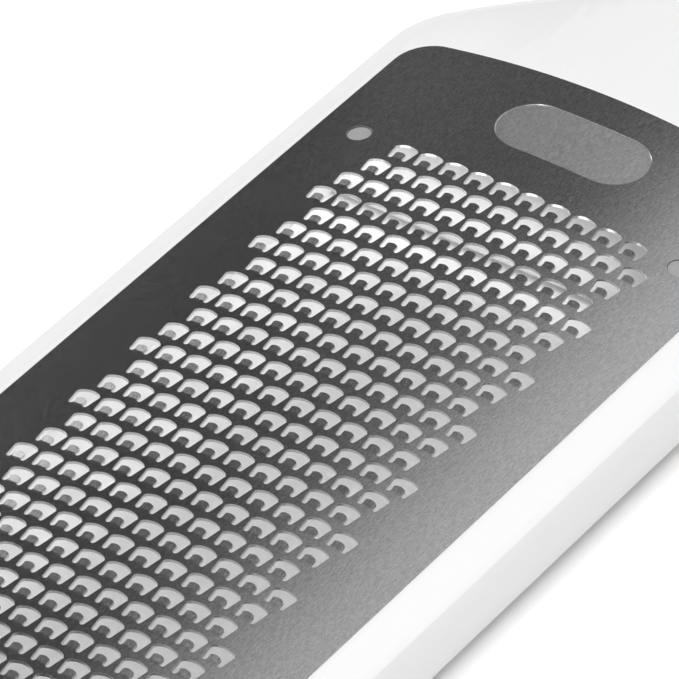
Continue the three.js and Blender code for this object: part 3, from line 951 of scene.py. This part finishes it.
def hang_ring():
    bore = RING_RADIUS - BUSH_WALL
    end = [(bore + step, rise) for step, rise in BUSH_INNER_EDGE]
    end += [(RING_RADIUS - step, rise) for step, rise in BUSH_OUTER_EDGE]
    profile = [(radius, RING_LOW.z + rise) for radius, rise in end]
    profile += [(radius, RING_HIGH.z - rise) for radius, rise in reversed(end)]
    profile.append(profile[0])
    bm = bmesh.new()
    verts = turned(bm, profile)
    bmesh.ops.translate(bm, vec=(RING_MIDDLE.x, RING_MIDDLE.y, 0), verts=verts)
    finished("hang_bush", bm, "hang_ring", SOFT_GREY)


def stud(node, x, y):
    """A pin whose flat head fills its hole in the plate, set square to the bowed surface."""
    head = STUD_HOLE / 2 - STUD_GAP
    profile = [(head * share, -drop) for share, drop in STUD_DISH]
    profile += [(head - inset, -drop) for inset, drop in STUD_EDGE]
    profile += [(radius, -drop) for radius, drop in STUD_PIN]
    bm = bmesh.new()
    verts = turned(bm, profile)
    tilt = Matrix.Rotation(math.asin(x / CROWN_RADIUS), 4, "Y")
    place = Matrix.Translation((x, y, CROWN_Z - crown_drop(x)))
    bmesh.ops.transform(bm, matrix=place @ tilt, verts=verts)
    finished(f"{node}_head", bm, node, GREY_PLASTIC)


def foot(node):
    low, high = node_box(node)
    middle = (low + high) / 2
    profile = [(0, 0)]
    profile += [(FOOT_RADIUS - inset, rise) for inset, rise in FOOT_EDGE]
    profile += [(FOOT_RADIUS, high.z), (0, high.z)]
    bm = bmesh.new()
    verts = turned(bm, profile)
    bmesh.ops.translate(bm, vec=(middle.x, middle.y, low.z), verts=verts)
    finished(f"{node}_pad", bm, node, SOFT_GREY)


grating_plate()
moulded_frame()
back_cover()
grip("grip_top", 1)
grip("grip_back", -1)
hang_ring()
for stud_node, stud_x, stud_y in stud_places():
    stud(stud_node, stud_x, stud_y)
for foot_node in ("foot_toe_left", "foot_toe_right", "foot_shoulder_left", "foot_shoulder_right"):
    foot(foot_node)


# Floor: its side in metres, its white for diffuse rays and its white where it is seen straight
FLOOR_SIZE = 6
FLOOR_WHITE = 0.5
FLOOR_SEEN_WHITE = 1.03

# World: levels of its parts, and the degrees between which each edge of them fades
DOME_LEVEL = 0.53
ZENITH = (76, 90)
RIGHT_LEVEL = 0.95
RIGHT_START = (30, 60)
RIGHT_END = (107, 120)
RIGHT_LEAN = 14
RIGHT_LEAN_SPAN = (26, 58)
RIGHT_FADE = 0.75
RIGHT_FADE_SPAN = (44, 58)
LEFT_LEVEL = 4.6
LEFT_START = (149, 153)
LEFT_END = (166, 174)
LEFT_LOW = (29, 35)
LEFT_HIGH = (43, 49)
GAP_LEVELS = (0.092, 0.05)
GAP_LEVEL_SPAN = (22, 40)
GAP_END = (156, 170)
FRONT_LEVEL = 4.1
FRONT_START = (-90, -60)
FRONT_END = (30, 60)
FRONT_HIGH = (4, 24)
SIDE_LEVEL = 3.2
SIDE_START = (160, 172)
SIDE_END = (-160, -140)
SIDE_HIGH = (12, 26)

# Lamps: places and sizes in millimetres, beams in degrees, and the direction that lies behind each lamp
OVERHEAD_LEVEL = 0.416
OVERHEAD_SIZE = (500, 500)
OVERHEAD_DISTANCE = 1300
OVERHEAD_AZIMUTH = math.radians(238)
OVERHEAD_ELEVATION = math.radians(78)
CARD_POWER = 0.0014
CARD_TARGET = Vector((-4, 2, CROWN_Z))
CARD_BEHIND = Vector((-0.47, 0.68, 0.56))
CARD_DISTANCE = 150
CARD_SIZE = (100, 100)
HANDLE_STRIP_POWER = 0.0012
HANDLE_STRIP_PLACE = Vector((-9, OPENING_HIGH_Y - 12, 6))
HANDLE_STRIP_BEHIND = Vector((0, -1, 0))
HANDLE_STRIP_SIZE = (48, 4)
HANDLE_STRIP_BEAM = 105
SIDE_STRIP_POWER = 0.0014
SIDE_STRIP_PLACE = Vector((5, -62, 12))
SIDE_STRIP_BEHIND = Vector((1, 0, 0))
SIDE_STRIP_SIZE = (95, 3)
SIDE_STRIP_BEAM = 30
FLOOR_STRIP_POWER = 0.0023
FLOOR_STRIP_PLACE = Vector((-OPENING_HALF - 4, -62, LEDGE_Z - 0.6))
FLOOR_STRIP_BEHIND = Vector((0, 0, 1))
FLOOR_STRIP_SIZE = (12, 95)
FLOOR_STRIP_BEAM = 150
FULL_BEAM = 180


def seen_straight(tree):
    """1 on camera, glossy and transmission rays."""
    seen = 0
    for ray in ("Is Camera Ray", "Is Glossy Ray", "Is Transmission Ray"):
        seen = tree.maths("MAXIMUM", seen, tree.node("ShaderNodeLightPath", output=ray))
    return seen


def pale_floor():
    bm = bmesh.new()
    bmesh.ops.create_grid(bm, x_segments=1, y_segments=1, size=FLOOR_SIZE / 2)
    mesh = bpy.data.meshes.new("floor")
    bm.to_mesh(mesh)
    bm.free()
    material = bpy.data.materials.new("floor_white")
    tree = blank_tree(material)
    white = tone(tree, seen_straight(tree), [FLOOR_WHITE] * 3, [FLOOR_SEEN_WHITE] * 3)
    paper = tree.node("ShaderNodeBsdfDiffuse", None, {"Color": white})
    tree.node("ShaderNodeOutputMaterial", None, {"Surface": paper})
    mesh.materials.append(material)
    floor = bpy.data.objects.new("floor", mesh)
    SCENE.collection.objects.link(floor)


def studio_world():
    """Even light with brighter panels on four sides and a dark gap between two of them.

    The steel mirrors all of it, and camera rays see plain white.
    """
    world = bpy.data.worlds.new("studio")
    SCENE.world = world
    tree = blank_tree(world)
    direction = tree.node("ShaderNodeTexCoord", output="Generated")
    azimuth = tree.maths("ARCTAN2", direction.part("Y"), direction.part("X")) * math.degrees(1)
    elevation = tree.maths("ARCSINE", direction.part("Z")) * math.degrees(1)
    under_zenith = 1 - elevation.ramp(*ZENITH)
    lean = (elevation.ramp(*RIGHT_LEAN_SPAN) - 0.5) * RIGHT_LEAN
    past_right = (azimuth - lean).ramp(*RIGHT_END)
    right_panel = azimuth.ramp(*RIGHT_START) * (1 - past_right) * under_zenith
    right_panel = right_panel * (1 - elevation.ramp(*RIGHT_FADE_SPAN) * RIGHT_FADE)
    left_band = azimuth.ramp(*LEFT_START) * elevation.ramp(*LEFT_LOW) * (1 - elevation.ramp(*LEFT_HIGH))
    left_panel = left_band * (1 - azimuth.ramp(*LEFT_END))
    gap = past_right * (1 - left_band) * (1 - azimuth.ramp(*GAP_END)) * under_zenith
    gap_level = between(*GAP_LEVELS, elevation.ramp(*GAP_LEVEL_SPAN))
    front_panel = azimuth.ramp(*FRONT_START) * (1 - azimuth.ramp(*FRONT_END))
    front_panel = front_panel * (1 - elevation.ramp(*FRONT_HIGH))
    side_panel = azimuth.ramp(*SIDE_START) + (1 - azimuth.ramp(*SIDE_END))
    side_panel = side_panel * (1 - elevation.ramp(*SIDE_HIGH))
    level = DOME_LEVEL + right_panel * (RIGHT_LEVEL - DOME_LEVEL)
    level = level + left_panel * (LEFT_LEVEL - DOME_LEVEL)
    level = level + gap * (gap_level - DOME_LEVEL)
    level = level + front_panel * (FRONT_LEVEL - DOME_LEVEL)
    level = level + side_panel * (SIDE_LEVEL - DOME_LEVEL)
    camera = tree.node("ShaderNodeLightPath", output="Is Camera Ray")
    shine = tree.node("ShaderNodeBackground", None, {"Strength": between(level, 1, camera)})
    tree.node("ShaderNodeOutputWorld", None, {"Surface": shine})


def lamp(name, power, place, behind, size, beam=FULL_BEAM):
    """A flat lamp with its back to a direction, which the camera doesn't see."""
    data = bpy.data.lights.new(name, "AREA")
    data.energy = power
    data.shape = "RECTANGLE"
    data.size = size[0] * MM
    data.size_y = size[1] * MM
    data.spread = math.radians(beam)
    made = bpy.data.objects.new(name, data)
    made.location = place * MM
    made.rotation_mode = "QUATERNION"
    made.rotation_quaternion = behind.to_track_quat("Z", "Y")
    made.visible_camera = False
    SCENE.collection.objects.link(made)


def overhead_lamp():
    """A softbox high over the toe and to the left, which leaves a soft shadow along the right side."""
    flat = math.cos(OVERHEAD_ELEVATION)
    behind = Vector((
        flat * math.cos(OVERHEAD_AZIMUTH),
        flat * math.sin(OVERHEAD_AZIMUTH),
        math.sin(OVERHEAD_ELEVATION),
    ))
    power = OVERHEAD_LEVEL * 4 * math.pi * (OVERHEAD_DISTANCE * MM) ** 2
    lamp("overhead", power, behind * OVERHEAD_DISTANCE, behind, OVERHEAD_SIZE)


def strips():
    """Weak lamps in the space under the plate, which light what shows through the windows."""
    lamp(
        "handle_strip", HANDLE_STRIP_POWER, HANDLE_STRIP_PLACE, HANDLE_STRIP_BEHIND,
        HANDLE_STRIP_SIZE, HANDLE_STRIP_BEAM,
    )
    lamp(
        "side_strip", SIDE_STRIP_POWER, SIDE_STRIP_PLACE, SIDE_STRIP_BEHIND,
        SIDE_STRIP_SIZE, SIDE_STRIP_BEAM,
    )
    lamp(
        "floor_strip", FLOOR_STRIP_POWER, FLOOR_STRIP_PLACE, FLOOR_STRIP_BEHIND,
        FLOOR_STRIP_SIZE, FLOOR_STRIP_BEAM,
    )


def handle_card():
    """A weak card beyond the handle, which the end of the plate mirrors."""
    lamp("handle_card", CARD_POWER, CARD_TARGET + CARD_BEHIND * CARD_DISTANCE, CARD_BEHIND, CARD_SIZE)


def photograph_camera():
    data = bpy.data.cameras.new("camera")
    data.sensor_width = SENSOR
    data.lens = SENSOR * CAMERA_LENS_WIDTHS
    data.clip_start = CLIP_START
    data.clip_end = CLIP_END
    camera = bpy.data.objects.new("camera", data)
    SCENE.collection.objects.link(camera)
    camera.location = CAMERA_PLACE * MM
    aim = CAMERA_AIM.to_track_quat("-Z", "Y")
    camera.rotation_mode = "QUATERNION"
    camera.rotation_quaternion = aim @ Quaternion(ALONG_Z, CAMERA_ROLL)
    SCENE.camera = camera


pale_floor()
studio_world()
overhead_lamp()
strips()
handle_card()
photograph_camera()
SCENE.view_settings.view_transform = "Standard"
